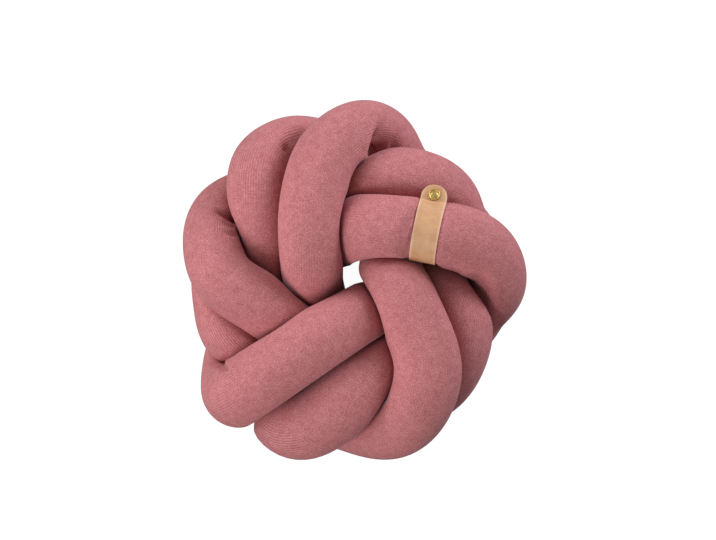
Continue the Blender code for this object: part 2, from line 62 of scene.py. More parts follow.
# One row for each arm in the order in which the tube takes them: the radii of its free side,
# evenly spread from the rim to the centre, and its way (x, y, z): round the rim, over the face
# and down at the centre, and then back out underneath to the rim of the next arm.
ROUTE = (
    ("right", (27.0, 27.0, 27.5),
     [(104, -21, -11), (116, -5, 7), (114, 17, 30), (98, 32, 46),
      (64, 40.5, 54), (32, 43, 55), (3, 44, 42), (-21, 38, 4)],
     [(-37, 34, -36), (-71, 33, -50), (-106, 16, -31)]),
    ("left low", (26.5,),
     [(-111, -5, -8), (-109, -23, 2), (-105, -39, 6), (-93, -53, 4), (-75, -65, -12)],
     [(-64, -84, -42), (-49, -104, -51), (-26, -114, -46)]),
    ("bottom right", (28.0, 28.0, 26.0, 24.0),
     [(3, -121, -18), (33, -122, 17), (54.5, -99.5, 47), (60.5, -70, 54),
      (50, -34, 54), (38.5, -9, 51), (31, 10, 38), (29, 28, 14)],
     [(20, 48, -16), (10, 69, -40), (-10, 101, -49)]),
    ("top left", (27.0, 26.5),
     [(-44, 113, -22), (-64, 108.5, 2), (-77.5, 96, 17), (-80, 72, 24),
      (-77, 45, 18), (-71, 27, 9), (-66, 12, -6)],
     [(-69, -8, -26), (-83, -28, -41), (-97, -54, -42)]),
    ("bottom left", (28.0, 27.5, 27.0, 23.5, 21.0),
     [(-101, -88.5, -6), (-95.5, -94, 26), (-75, -80, 48), (-48, -61, 55),
      (-18, -42, 54), (9, -27, 34), (24, -21, 5), (38, -14, -31)],
     [(56, -9, -49), (82, 0, -52), (98, 28, -24)]),
    ("top right", (26.5,),
     [(86, 48, 4), (80, 65, 16), (68, 78, 24), (46, 85, 28),
      (15, 85, 22), (-12, 80, 2), (-32, 77, -10)],
     [(-45, 75, -17), (-60, 73, -22), (-81, 70, -23)]),
    ("left", (26.5, 25.5, 25.5, 25.0),
     [(-92, 67, -20), (-111, 57, -8), (-119, 27, 24), (-109, 1, 40),
      (-85, -16, 40), (-64, -30, 30), (-43, -44, 14), (-19, -55, 9)],
     [(8, -63, -17), (23, -78, -33), (45, -94, -28)]),
    ("right low", (26.5,),
     [(61, -93, -14), (76, -79, 7), (85, -60, 19), (88, -37, 23),
      (78, -10, 17), (63, 12, -6)],
     [(56, 34, -26), (56, 63, -33), (46.5, 84, -27)]),
    ("top", (27.0, 26.0, 27.5, 24.0),
     [(35, 100, -20), (26, 117.5, -8), (6, 126, 18), (-21, 108, 40),
      (-32.5, 82, 50), (-36, 54, 55), (-36, 22, 47), (-36, -3, 14)],
     [(-33, -28, -24), (-34, -60, -35), (-40, -85, -12)]),
    ("bottom", (29.5, 28.5),
     [(-58.5, -103, 6), (-57.5, -114.5, 17), (-44, -121, 28), (-18, -108, 37),
      (7, -87, 37), (31, -69, 23), (42, -60, 8)],
     [(55, -53, -10), (76, -47, -24), (93, -38, -25)]),
)

FOLD_REACH = 34          # how far along the tube a fold counts on both sides of its middle
FOLD_FINE = 0.8          # the share of that reach in which the sections stand closer
FOLD_RUN = 0.7           # the share of its length over which a fold gets deeper
FOLD_RIDGE = 0.15        # the height of the ridges beside it, as a share of its depth
FOLD_SEARCH = 9          # how near to a fold's middle the tube is searched for it

# Where an arm bends sharply, the knit of its inner side is thrown into folds. One row for each
# fold as it is seen from above: the arm, the (x, y) of its shallow end and of its deep end, its
# depth, and its width on the left and on the right of the way down.
FOLDS = (
    ("top", (27, 140), (17, 108), 10.0, (16.0, 4.5)),
    ("top", (24, 138), (15, 106), 5.0, (2.2, 2.2)),
    ("top", (42, 132), (33, 110), 3.0, (2.4, 2.2)),
    ("top", (10, 130), (6, 108), 1.2, (2.2, 2.2)),
    ("left", (-120, 62), (-101, 51), 8.0, (2.2, 2.2)),
    ("left", (-118, 54), (-104, 46), 2.0, (1.8, 1.8)),
    ("left", (-114, 43), (-102, 38), 1.5, (1.8, 1.8)),
    ("top left", (-36, 135), (-56, 112), 6.0, (7.0, 5.5)),
    ("top left", (-63, 117), (-55, 113), 4.0, (2.0, 2.0)),
    ("right", (117, -32), (104, -2), 6.0, (9.0, 7.0)),
    ("bottom left", (-122, -66), (-110, -73), 4.0, (3.0, 3.0)),
)


def unit(vectors):
    """Each vector divided by its own length."""
    return vectors / np.linalg.norm(vectors, axis=-1, keepdims=True)


def steps_of(line):
    """Distance from each point of a closed line to the next one."""
    return np.linalg.norm(np.roll(line, -1, axis=0) - line, axis=1)


def closed_curve(points, stops=24):
    """Cubic pieces between neighbouring points whose slopes and bends agree at each point, with
    knots spaced by the 0.6th power of the distance, and that many stops on each piece."""
    after = np.roll(points, -1, axis=0)
    step = np.linalg.norm(after - points, axis=1) ** 0.6
    before = np.roll(step, 1)
    slope = (after - points) / step[:, None]
    n = len(points)
    here = np.arange(n)
    system = np.zeros((n, n))
    system[here, here] = 2 * (step + before)
    system[here, (here + 1) % n] += before
    system[here, (here - 1) % n] += step
    balance = 3 * (step[:, None] * np.roll(slope, 1, axis=0) + before[:, None] * slope)
    tangent = np.linalg.solve(system, balance)
    t = np.linspace(0, 1, stops, endpoint=False)[None, :, None]
    span = step[:, None, None]
    curve = ((2 * t**3 - 3 * t**2 + 1) * points[:, None]
             + (t**3 - 2 * t**2 + t) * span * tangent[:, None]
             + (3 * t**2 - 2 * t**3) * after[:, None]
             + (t**3 - t**2) * span * np.roll(tangent, -1, axis=0)[:, None])
    return curve.reshape(-1, 3)


def along(curve, at):
    """Points of a closed line at the given distances from its first point."""
    length = np.concatenate([[0], np.cumsum(steps_of(curve))])
    ring = np.vstack([curve, curve[:1]])
    return np.stack([np.interp(at, length, ring[:, k]) for k in range(3)], axis=1)


def half_way(starts, rays, line):
    """Distance r along each ray at which it is as near to another point q of the line as to its
    start: r = |q - start|^2 / (2 ray . (q - start)), the least over all q further off than the
    start's own stretch. The rays are taken in batches, to spare memory."""
    batch = 2000
    shape = rays.shape[:-1]
    starts, rays = (a.reshape(-1, 3) for a in np.broadcast_arrays(starts, rays))
    reach = np.full(len(starts), FAR)
    for first in range(0, len(starts), batch):
        part = slice(first, first + batch)
        own = (starts[part] ** 2).sum(axis=1)[:, None]
        square = (line**2).sum(axis=1)[None] - 2 * starts[part] @ line.T + own
        ahead = rays[part] @ line.T - (rays[part] * starts[part]).sum(axis=1)[:, None]
        towards = (ahead > 1e-6 * square) & (square > OWN_STRETCH**2)
        there = np.where(towards, square / np.where(towards, 2 * ahead, 1), FAR)
        reach[part] = there.min(axis=1)
    return reach.reshape(shape)


def skin(free, pressed):
    """The lesser of the free radius and the pressed one, blended as the power mean whose power
    is minus CREASE."""
    return (free**-CREASE + np.maximum(pressed, 1)**-CREASE)**(-1 / CREASE)


def spokes(line, sides):
    """Rays square to the line, evenly round it. Their start is carried along the line with the
    least turn, and what is missing at the end of the round is shared out evenly."""
    tangent = unit(np.roll(line, -1, axis=0) - np.roll(line, 1, axis=0))
    side = np.zeros_like(line)
    side[0] = unit(np.cross(tangent[0], (0, 0, 1)))
    for i in range(1, len(line)):
        side[i] = unit(side[i - 1] - tangent[i] * (side[i - 1] @ tangent[i]))
    end = unit(side[-1] - tangent[0] * (side[-1] @ tangent[0]))
    slip = math.atan2(end @ np.cross(tangent[0], side[0]), end @ side[0])
    turn = -slip * np.arange(len(line))[:, None] / len(line)
    side = np.cos(turn) * side + np.sin(turn) * np.cross(tangent, side)
    up = np.cross(tangent, side)
    angle = np.arange(sides) * 2 * math.pi / sides
    return np.cos(angle)[None, :, None] * side[:, None] + np.sin(angle)[None, :, None] * up[:, None]


def spread(values, count):
    """Evenly spaced values of an arm brought to the number of its points."""
    return np.interp(np.linspace(0, 1, count), np.linspace(0, 1, len(values)), values)


def evened(values, step, over):
    """Values along a closed line, smoothed with a bell curve whose width is over."""
    wave = np.fft.fftfreq(len(values), d=step)
    return np.real(np.fft.ifft(np.fft.fft(values) * np.exp(-2 * (math.pi * wave * over)**2)))


def free_radius(line, route, fullness):
    """The free radius along the line: the girth of the knit stays that of the arm's own full
    radius, so that where neighbours press a section flat its free sides swell. Each round makes
    up most of the girth that is still missing, and evens it out along the tube."""
    step = steps_of(line).mean()
    nearest = ((line[:, None] - route[None])**2).sum(axis=2).argmin(axis=1)
    full = evened(fullness[nearest], step, UNDER_RADIUS / 2)
    rays = spokes(line, TRIAL_SIDES)
    pressed = half_way(line[:, None], rays, line) - PRESS_GAP / 2
    girth = 2 * TRIAL_SIDES * math.sin(math.pi / TRIAL_SIDES) * full
    radius = full
    for _ in range(4):
        rim = skin(radius[:, None], pressed)[:, :, None] * rays
        around = np.linalg.norm(np.roll(rim, -1, axis=1) - rim, axis=2).sum(axis=1)
        radius = np.clip(radius * (girth / around)**0.8, full, full * SWELL_LIMIT)
        radius = evened(radius, step, UNDER_RADIUS / 2)
    return radius


def grid_faces(rows, columns, closed_rows):
    """Quads of a grid whose columns close on themselves, and whose rows may."""
    i = np.arange(rows if closed_rows else rows - 1)[:, None]
    j = np.arange(columns)[None]
    beside = (j + 1) % columns
    ahead = (i + 1) % rows * columns
    quads = np.stack([i * columns + j, i * columns + beside, ahead + beside, ahead + j], axis=-1)
    return quads.reshape(-1, 4)


def add_piece(name, points, *faces, uv=None):
    """A smooth mesh object from points in millimetres and arrays of quads or triangles; uv holds
    one pair for each corner."""
    mesh = bpy.data.meshes.new(name)
    corners = [face for array in faces for face in array.tolist()]
    mesh.from_pydata((np.asarray(points).reshape(-1, 3) * MM).tolist(), [], corners)
    if uv is not None:
        mesh.uv_layers.new(name="cloth").data.foreach_set("uv", uv.astype(np.float32).ravel())
    mesh.shade_smooth()
    piece = bpy.data.objects.new(name, mesh)
    bpy.context.scene.collection.objects.link(piece)
    return piece


def give_values(piece, name, values):
    """One number for each point of a piece, for its material to read by that name."""
    attribute = piece.data.attributes.new(name, "FLOAT", "POINT")
    attribute.data.foreach_set("value", values.astype(np.float32).ravel())


def on_ground(points):
    """The route's space moved to the object's own, in millimetres."""
    return np.asarray(points) + (-CENTRE[0], -CENTRE[1], REST_HEIGHT)


route = np.array([point for *_, front, under in ROUTE for point in front + under], float)
fullness = np.concatenate([[*spread(radii, len(front)), *[UNDER_RADIUS] * len(under)]
                           for _, radii, front, under in ROUTE])
arm_of_point = np.array([name for name, _, front, under in ROUTE for _ in front + under])
curve = closed_curve(route)
TUBE_LENGTH = steps_of(curve).sum()

trial_at = np.arange(TRIAL_SECTIONS) / TRIAL_SECTIONS * TUBE_LENGTH
trial = along(curve, trial_at)
trial_arm = arm_of_point[((trial[:, None] - route[None])**2).sum(axis=2).argmin(axis=1)]
trial_radius = free_radius(trial, route, fullness)
trial_rays = spokes(trial, TRIAL_SIDES)
trial_reach = skin(trial_radius[:, None], half_way(trial[:, None], trial_rays, trial))
trial_skin = trial[:, None] + trial_rays * trial_reach[..., None]


def place_of(fold_row):
    """Distance along the line of the section on which a fold lies: of the sections of its arm
    and the two before them, the one whose skin is highest at the fold's middle."""
    arm, shallow, deep, _, _ = fold_row
    own = trial_arm == arm
    own |= np.roll(own, -2)
    off = np.linalg.norm(trial_skin[..., :2] - (np.array(shallow) + deep) / 2, axis=2)
    height = np.where(own[:, None] & (off < FOLD_SEARCH), trial_skin[..., 2], -FAR)
    return trial_at[height.argmax() // TRIAL_SIDES]


def apart(places, place):
    """Distance along the closed line from places on it to one place."""
    off = np.abs(places - place)
    return np.minimum(off, TUBE_LENGTH - off)


# The sections stand closer where the line passes a fold. The spacing is known at each millimetre
# of the line, and so is the number of sections that have been passed up to there.
fold_places = [place_of(fold_row) for fold_row in FOLDS]
each_mm = np.arange(0, TUBE_LENGTH, 1.0)
spacing = np.full(len(each_mm), SECTION_STEP)
for place in fold_places:
    spacing[apart(each_mm, place) < FOLD_FINE * FOLD_REACH] = FOLD_STEP
spacing = evened(spacing, 1.0, STEP_CHANGE)
passed = np.concatenate([[0], np.cumsum(1 / spacing)])
TUBE_SECTIONS = int(round(passed[-1]))
at = np.interp(np.arange(TUBE_SECTIONS) / TUBE_SECTIONS * passed[-1], passed,
               np.append(each_mm, TUBE_LENGTH))
line = along(curve, at)
radius = np.interp(at, trial_at, trial_radius, period=TUBE_LENGTH)

# ---- The strap's seat on its arm: its plane and the bed that it presses into the knit --------

STRAP_WIDTH = 22.0
STRAP_THICK = 1.8
STRAP_PROUD = 0.6        # out of the free side of its arm
STRAP_AT = (62, 41, 55)  # the point of the route that it goes round
STRAP_TURN = -4.0        # degrees off square to the arm, as it has slipped
STRAP_LEAN = 5.5         # degrees that its top has slipped along the arm
SEAT_GAP = 0.3           # between the strap and the knit
SEAT_MARGIN = 0.4        # of the bed on both sides of the strap
SEAT_SLOPE = 1.2         # how steeply the knit rises again beside the bed
SEAT_SPAN = 7            # how far along the arm its direction is taken on both sides

seat = each_mm[np.argmin(np.linalg.norm(along(curve, each_mm) - np.array(STRAP_AT), axis=1))]
seat_at, before_seat, after_seat = along(curve, [seat, seat - SEAT_SPAN, seat + SEAT_SPAN])
upright = np.array([0.0, 0.0, 1.0])
square_on = unit((after_seat - before_seat) * (1, 1, 0))
turn, lean = math.radians(STRAP_TURN), math.radians(STRAP_LEAN)
level = math.cos(turn) * square_on + math.sin(turn) * np.cross(upright, square_on)
seat_along = math.cos(lean) * level - math.sin(lean) * upright
seat_up = math.cos(lean) * upright + math.sin(lean) * level
seat_out = np.cross(upright, level)
seat_out *= np.sign(seat_out[1])

# The strap's outer surface stands proud of the arm, by the lowest at each angle of five of the
# arm's sections that lie under the strap's width.
seat_angle = np.radians(np.arange(0, 360, 5))
seat_rays = np.cos(seat_angle)[:, None] * seat_out + np.sin(seat_angle)[:, None] * seat_up
five = np.searchsorted(at, seat + np.linspace(-0.5, 0.5, 5) * STRAP_WIDTH)
five_ahead = unit(line[five + 2] - line[five - 2])
five_rays = unit(seat_rays - (five_ahead @ seat_rays.T)[:, :, None] * five_ahead[:, None])
five_reach = skin(radius[five][:, None] + STRAP_PROUD,
                  half_way(line[five][:, None], five_rays, line) - PRESS_GAP / 2)
five_rims = line[five][:, None] + five_reach[:, :, None] * five_rays - seat_at
strap_rim = (five_rims * seat_rays).sum(axis=2).min(axis=0)


def rim_at(angle):
    """The strap's outer surface, as a distance from the arm's middle, at any angle."""
    return np.interp(angle, seat_angle, strap_rim, period=2 * math.pi)


def groove(starts, rays, reach):
    """The reach of the arm's rays, held back to the strap's bed, which rises again beside the
    strap by SEAT_SLOPE mm for each mm."""
    offset = starts - seat_at
    held = reach
    for _ in range(4):
        u = offset @ seat_out + held * (rays @ seat_out)
        w = offset @ seat_up + held * (rays @ seat_up)
        bed = rim_at(np.arctan2(w, u)) - STRAP_THICK - SEAT_GAP
        held = held * bed / np.hypot(u, w)
    beside = np.abs((offset + reach[..., None] * rays) @ seat_along) - STRAP_WIDTH / 2 - SEAT_MARGIN
    return np.minimum(reach, held + SEAT_SLOPE * np.maximum(beside, 0))


# ---- The skin, and the knit that covers it ----------------------------------------------------
# No cloth is simulated: the pressed shape, the swelling and the folds are worked out in code, as
# moves of the skin's points along their rays.

tube_rays = spokes(line, TUBE_SIDES)
starts = np.repeat(line[:, None], TUBE_SIDES, axis=1)
pressed = half_way(starts, tube_rays, line) - PRESS_GAP / 2
reach = skin(radius[:, None], pressed)


def fold(shallow, deep, depth, widths, place):
    """A valley along a line seen from above, with a low ridge on both sides: minus a bell curve
    of the distance from the line, plus a low one two widths away. It gets deeper from its
    shallow end on. Along the tube it fades out over the last third of its reach, and towards the
    underside between 15 and 30 degrees below level."""
    seen = (starts + reach[..., None] * tube_rays)[..., :2]
    way = np.subtract(deep, shallow)
    share = np.clip(((seen - shallow) @ way) / (way @ way), 0, 1)
    left = (seen - shallow) @ (-way[1], way[0]) > 0
    off = np.linalg.norm(seen - shallow - share[..., None] * way, axis=-1)
    off = off / np.where(left, widths[0], widths[1])
    fade = np.minimum(share / FOLD_RUN, 1)
    fade = fade**2 * (3 - 2 * fade)
    near = np.clip(3 - 3 * apart(at, place) / FOLD_REACH, 0, 1)[:, None]
    near = near * np.clip(2 + 4 * tube_rays[..., 2], 0, 1)
    return near * depth * fade * (FOLD_RIDGE * np.exp(-(off - 2)**2) - np.exp(-off**2))


folded = reach + sum(fold(*sizes, place) for (_, *sizes), place in zip(FOLDS, fold_places))
reach = np.minimum(folded, np.maximum(pressed, CORE))
by_strap = np.abs(at - seat) < 1.5 * STRAP_WIDTH
reach[by_strap] = groove(starts[by_strap], tube_rays[by_strap], reach[by_strap])
down = np.maximum(-tube_rays[..., 2], 1e-3)
reach = np.minimum(reach, (starts[..., 2] + REST_HEIGHT) / down)
tube_points = on_ground(starts + reach[..., None] * tube_rays)

WALES = 80               # ribs round the tube: 1.6 mm each, drawn at 2.1 mm so that they show
COURSE = 1.7             # height of one row of stitches
courses = round(TUBE_LENGTH / COURSE)

# The cloth's map counts wales round the tube and rows of stitches along it. The faces that close
# the tube get the next number there, not the first one. Faces point outwards, and each quad
# starts at its second corner, from which it is split in two.
tube_faces = np.roll(grid_faces(TUBE_SECTIONS, TUBE_SIDES, True), -1, axis=1)
row, column = tube_faces // TUBE_SIDES, tube_faces % TUBE_SIDES
row = np.where((row == 0) & (row.max(axis=1) == TUBE_SECTIONS - 1)[:, None], TUBE_SECTIONS, row)
column = np.where((column == 0) & (column.max(axis=1) == TUBE_SIDES - 1)[:, None],
                  TUBE_SIDES, column)
knit_uv = np.stack([column * WALES / TUBE_SIDES,
                    np.append(at, TUBE_LENGTH)[row] * courses / TUBE_LENGTH], axis=-1)
knit_tube = add_piece("knit_tube_cover", tube_points, tube_faces, uv=knit_uv)

# A bend shortens the knit on its inner side and stretches it on its outer side, by the line's
# bend times the distance from the line. Its ribs show more the more it is strained, and most of
# all round the folds, by the fold's own shape turned over, one high and wider.
BEND_SPAN = 12           # the length over which the bend is taken on both sides
BEND_COUNTS = 0.8        # how much the strain of a bend shows
FOLD_COUNTS = 0.7        # and that round a fold
FOLD_MOST = 1.2          # where folds lie close together
FOLD_WIDE = (14, 14)     # how far the knit is strained on the left and on the right of a fold

ahead = unit(along(curve, np.mod(at + BEND_SPAN, TUBE_LENGTH)) - line)
behind = unit(line - along(curve, np.mod(at - BEND_SPAN, TUBE_LENGTH)))
bend = (ahead - behind) / BEND_SPAN
bend_strain = np.abs((bend[:, None] * tube_rays).sum(axis=2) * reach)
fold_strain = sum(fold(shallow, deep, -1.0, FOLD_WIDE, place)
                  for (_, shallow, deep, _, _), place in zip(FOLDS, fold_places))
give_values(knit_tube, "strain",
            BEND_COUNTS * bend_strain + FOLD_COUNTS * np.clip(fold_strain, 0, FOLD_MOST))


def linear(hex_colour):
    """An sRGB hex colour as linear red, green, blue and alpha."""
    parts = [int(hex_colour[k:k + 2], 16) / 255 for k in (1, 3, 5)]
    return [c / 12.92 if c <= 0.04045 else ((c + 0.055) / 1.055)**2.4 for c in parts] + [1.0]


def add_node(tree, kind, inputs=None, **settings):
    """A node with its settings. inputs gives its sockets, by name or number, a value or a link
    from another node's socket."""
    node = tree.nodes.new(kind)
    for name, value in settings.items():
        setattr(node, name, value)
    for key, value in (inputs or {}).items():
        if isinstance(value, bpy.types.NodeSocket):
            tree.links.new(value, node.inputs[key])
        else:
            node.inputs[key].default_value = value
    return node


def new_material(name):
    """An empty material and its node tree."""
    material = bpy.data.materials.new(name)
    material.use_nodes = True
    material.node_tree.nodes.clear()
    return material, material.node_tree


def ridges(tree, across):
    """Round ridges, one for each unit of a coordinate, about their mean: |sin(pi x)| - 2 / pi."""
    turn = add_node(tree, "ShaderNodeMath", {0: across, 1: math.pi}, operation="MULTIPLY")
    swing = add_node(tree, "ShaderNodeMath", {0: turn.outputs[0]}, operation="SINE")
    size = add_node(tree, "ShaderNodeMath", {0: swing.outputs[0]}, operation="ABSOLUTE")
    return add_node(tree, "ShaderNodeMath", {0: size.outputs[0], 1: 2 / math.pi},
                    operation="SUBTRACT").outputs[0]


# Cotton jersey in melange yarn: dusty pink fibres of slightly different depth spun together give
# the eye a fine mottle, the wales a fine lengthwise rib, and the loose fibre ends a soft halo.
PINK_DEEP, PINK, PINK_LIGHT, PINK_HALO = "#A15B5D", "#C57B7D", "#E0A1A4", "#F6DDE4"
FLECK = 0.9              # between two flecks of the yarn's fibres, drawn coarser so that they show
CLOUD = 6                # across a deeper or paler patch
RIB_PATCH = 22           # across a patch where the ribs show

jersey, tree = new_material("melange_cotton_jersey")
uv = add_node(tree, "ShaderNodeUVMap", uv_map="cloth")
where = add_node(tree, "ShaderNodeTexCoord")
axes = add_node(tree, "ShaderNodeSeparateXYZ", {0: uv.outputs[0]})
rib = ridges(tree, axes.outputs[0])
stitch = ridges(tree, axes.outputs[1])

# ribs show faintly everywhere, and clearly in patches where the knit is gathered or stretched
strained = add_node(tree, "ShaderNodeAttribute", attribute_name="strain")
patch = add_node(tree, "ShaderNodeTexNoise", {
    "Vector": where.outputs["Object"], "Scale": 1 / (RIB_PATCH * MM), "Detail": 1.0,
    "Roughness": 0.5})
shown = add_node(tree, "ShaderNodeMath", {0: strained.outputs["Fac"], 1: patch.outputs[0]},
                 operation="MULTIPLY")
strength = add_node(tree, "ShaderNodeMapRange", {
    "Value": shown.outputs[0], "From Min": 0.2, "From Max": 0.5, "To Min": 0.15, "To Max": 1.5})
wale = add_node(tree, "ShaderNodeMath", {0: rib, 1: strength.outputs[0]}, operation="MULTIPLY")

# the mottle of the yarn: its flecks, and less strongly the clouds and the ribs
fleck = add_node(tree, "ShaderNodeTexNoise", {
    "Vector": where.outputs["Object"], "Scale": 1 / (FLECK * MM), "Detail": 2.0, "Roughness": 0.6})
cloud = add_node(tree, "ShaderNodeTexNoise", {
    "Vector": where.outputs["Object"], "Scale": 1 / (CLOUD * MM), "Detail": 2.0, "Roughness": 0.5})
mottle = add_node(tree, "ShaderNodeMath", {0: cloud.outputs[0], 1: 0.25, 2: fleck.outputs[0]},
                  operation="MULTIPLY_ADD")
mottle = add_node(tree, "ShaderNodeMath", {0: wale.outputs[0], 1: 0.2, 2: mottle.outputs[0]},
                  operation="MULTIPLY_ADD")
ramp = add_node(tree, "ShaderNodeValToRGB", {0: mottle.outputs[0]})
pinks = ramp.color_ramp.elements
pinks[0].position, pinks[0].color = 0.42, linear(PINK_DEEP)
pinks[1].position, pinks[1].color = 1.0, linear(PINK_LIGHT)
pinks.new(0.68).color = linear(PINK)

# the relief: the ribs, the flecks and, lowest, the rows of stitches
relief = add_node(tree, "ShaderNodeMath", {0: fleck.outputs[0], 1: 0.5, 2: wale.outputs[0]},
                  operation="MULTIPLY_ADD")
relief = add_node(tree, "ShaderNodeMath", {0: stitch, 1: 0.2, 2: relief.outputs[0]},
                  operation="MULTIPLY_ADD")
bump = add_node(tree, "ShaderNodeBump", {
    "Strength": 0.4, "Distance": 0.5 * MM, "Height": relief.outputs[0]})
cloth = add_node(tree, "ShaderNodeBsdfPrincipled", {
    "Base Color": ramp.outputs[0], "Roughness": 0.9, "Specular IOR Level": 0.2,
    "Sheen Weight": 0.2, "Sheen Roughness": 0.4, "Sheen Tint": linear(PINK_HALO),
    "Normal": bump.outputs[0]})
add_node(tree, "ShaderNodeOutputMaterial", {"Surface": cloth.outputs[0]})
knit_tube.data.materials.append(jersey)

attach(knit_tube, "root")
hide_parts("knit_tube")

# ==== Leather strap ===========================================================================
# One strip of vegetable-tanned leather, natural and undyed, 22 mm wide and 1.8 mm thick with both
# ends cut round. It goes round one arm, has slipped a little askew on it, and its ends lie over
# each other beside the arm.

STRAP_LEAVES = 25        # degrees above level at which the front end leaves the arm
STRAP_RETURNS = 365      # and the back end, after going round underneath
STRAP_STEP = 1.2         # between two rows of the strap's points
ACROSS = 15              # points in a row
RUBBED = 0.5             # radius of the strap's rubbed edges

# The two ends beyond the arm, (out from the arm's middle, above it); the front one lies on top.
FRONT_END = [(25.5, 10.4), (26.8, 9.62), (29.0, 8.95), (31.5, 8.2), (36.0, 6.85), (40.2, 5.6)]
BACK_END = [(27.0, 4.4), (27.7, 6.3), (29.0, 6.75), (31.0, 6.1), (35.4, 4.8), (39.4, 3.6)]


def flowing_line(points, stops=12):
    """A line through the points whose slope at each is half the step between its neighbours,
    with that many stops between two of them, and the length up to each stop."""
    ends = np.vstack([2 * points[0] - points[1], points, 2 * points[-1] - points[-2]])
    a, b, c, d = ends[:-3, None], ends[1:-2, None], ends[2:-1, None], ends[3:, None]
    t = np.linspace(0, 1, stops, endpoint=False)[None, :, None]
    flow = 0.5 * (2 * b + (c - a) * t + (2 * a - 5 * b + 4 * c - d) * t**2
                  + (3 * b - a - 3 * c + d) * t**3)
    flow = np.vstack([flow.reshape(-1, 2), points[-1:]])
    return flow, np.concatenate([[0], np.cumsum(np.linalg.norm(np.diff(flow, axis=0), axis=1))])


def cut(flow, length, places):
    """Points of a line at the given lengths, and its left-hand normals there: square to the way
    from 0.4 mm before each point to 0.4 mm after it."""
    here, back, front = (
        np.stack([np.interp(places + shift, length, flow[:, k]) for k in range(2)], axis=1)
        for shift in (0, -0.4, 0.4))
    ahead = unit(front - back)
    return here, np.stack([-ahead[:, 1], ahead[:, 0]], axis=1)


loop_angle = np.radians(np.arange(STRAP_LEAVES, STRAP_RETURNS + 1, 5))
loop_way = np.stack([np.cos(loop_angle), np.sin(loop_angle)], axis=1)
loop = (rim_at(loop_angle) - STRAP_THICK / 2)[:, None] * loop_way
strap_flow, strap_length = flowing_line(np.vstack([FRONT_END[::-1], loop, BACK_END]))

# The rows of points stand closer in the two ends, where the half width follows a half circle.
half = STRAP_WIDTH / 2
whole = strap_length[-1]
tip_at = half * (1 - np.cos(np.radians(np.linspace(3, 90, 20))))
body_at = np.arange(half + STRAP_STEP, whole - half - STRAP_STEP / 2, STRAP_STEP)
row_at = np.concatenate([tip_at, body_at, whole - tip_at[::-1]])
row_middle, _ = cut(strap_flow, strap_length, row_at)
from_end = np.minimum(np.minimum(row_at, whole - row_at), half)
row_half = np.sqrt(half**2 - (half - from_end)**2)

# The strip is its middle surface, given its thickness on both sides, with rubbed round edges.
share = np.linspace(-1, 1, ACROSS)
strap_points = (seat_at + (row_half[:, None] * share)[..., None] * seat_along
                + (row_middle[:, :1] * seat_out + row_middle[:, 1:] * seat_up)[:, None])
i, j = np.arange(len(row_at) - 1)[:, None] * ACROSS, np.arange(ACROSS - 1)[None]
strap_faces = np.stack([i + j, i + j + 1, i + ACROSS + j + 1, i + ACROSS + j], axis=-1)
leather_strap = add_piece("leather_strap_band", on_ground(strap_points), strap_faces.reshape(-1, 4))
give_values(leather_strap, "from middle", np.tile(np.abs(share), len(row_at)))
thick = leather_strap.modifiers.new("thickness", "SOLIDIFY")
thick.thickness = STRAP_THICK * MM
thick.offset = 0
thick.use_even_offset = True
rubbed = leather_strap.modifiers.new("rubbed edges", "BEVEL")
rubbed.width = RUBBED * MM
rubbed.segments = 3
rubbed.limit_method = "ANGLE"
rubbed.angle_limit = math.radians(50)
rubbed.harden_normals = False

# Vegetable-tanned leather, full grain: warm pale tan that darkens where hands and light reach it,
# paler along its cut edges, partly their own raw colour and partly a painted highlight where the
# rounded edges catch the light, with a fine pore grain and a soft wax shine. Pores are 0.4 mm and
# are drawn at 0.8 mm to show.
# the last colour is that of the long edges: their own raw colour, and partly a painted highlight
TAN_DEEP, TAN, TAN_PALE, CUT_EDGE_AND_HIGHLIGHT = "#BC8B62", "#CD9B71", "#D8AA82", "#EBC6A8"
PORE = 0.8               # between two pores
HIDE_FIBRE = 1.5         # across a bundle of the hide's fibres
HIDE_SHADE = 9           # across a darker or paler patch

leather, tree = new_material("vegetable_tanned_leather")
where = add_node(tree, "ShaderNodeTexCoord")
pores = add_node(tree, "ShaderNodeTexVoronoi", {
    "Vector": where.outputs["Object"], "Scale": 1 / (PORE * MM), "Smoothness": 0.6},
    feature="SMOOTH_F1")
shade = add_node(tree, "ShaderNodeTexNoise", {
    "Vector": where.outputs["Object"], "Scale": 1 / (HIDE_SHADE * MM), "Detail": 4.0,
    "Roughness": 0.6})
fibre = add_node(tree, "ShaderNodeTexNoise", {
    "Vector": where.outputs["Object"], "Scale": 1 / (HIDE_FIBRE * MM), "Detail": 3.0,
    "Roughness": 0.6})
tone = add_node(tree, "ShaderNodeMath", {0: fibre.outputs[0], 1: 0.4, 2: shade.outputs[0]},
                operation="MULTIPLY_ADD")
ramp = add_node(tree, "ShaderNodeValToRGB", {0: tone.outputs[0]})
tans = ramp.color_ramp.elements
tans[0].position, tans[0].color = 0.2, linear(TAN_DEEP)
tans[1].position, tans[1].color = 1.2 / 1.4, linear(TAN_PALE)
tans.new(0.6).color = linear(TAN)
